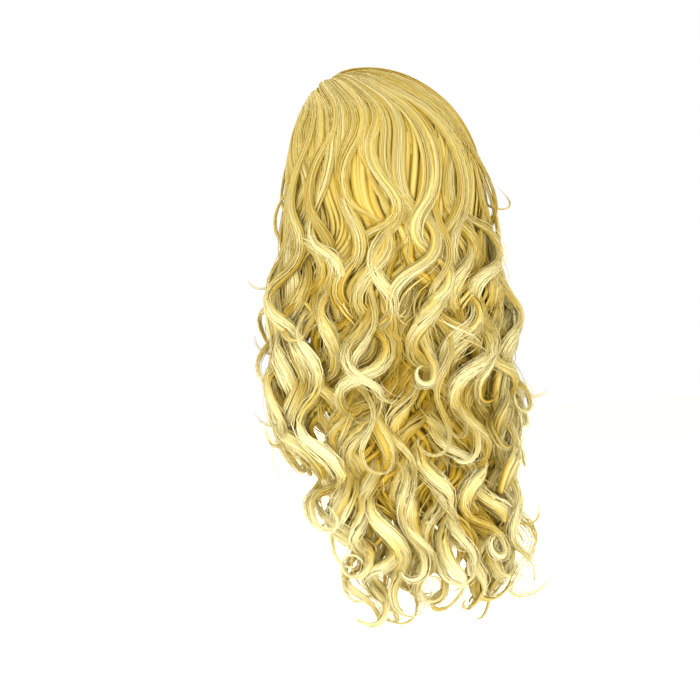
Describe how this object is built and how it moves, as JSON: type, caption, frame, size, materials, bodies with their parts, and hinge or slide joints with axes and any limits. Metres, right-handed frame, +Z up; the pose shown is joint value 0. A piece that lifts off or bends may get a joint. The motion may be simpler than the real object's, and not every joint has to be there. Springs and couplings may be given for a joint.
{
  "type": "half wig",
  "caption": "Long waved half wig: a hollow cap with a comb at its front edge, covered by layered wefts of hair that fall in loose curls down the back.",
  "frame": {"origin": "the inside of the cap where the top of the wearer's head rests", "axes": "+Z up, the wearer faces -Y, the hair falls behind towards +Y and down, the wearer's left is +X"},
  "size_m": [0.2786, 0.2226, 0.6089],
  "materials": {
    "cap_net": "knitted stretch net in rows",
    "comb_plastic": "smooth moulded plastic",
    "hair_under": "satin fibre, waved",
    "hair_top": "satin fibre, waved"
  },
  "bodies": {
    "root": {"cap": "cap_net", "front_comb": "comb_plastic", "weft_nape": "hair_under", "weft_back": "hair_under", "weft_left": "hair_under", "weft_right": "hair_under", "weft_crown": "hair_top"}
  },
  "joints": []
}
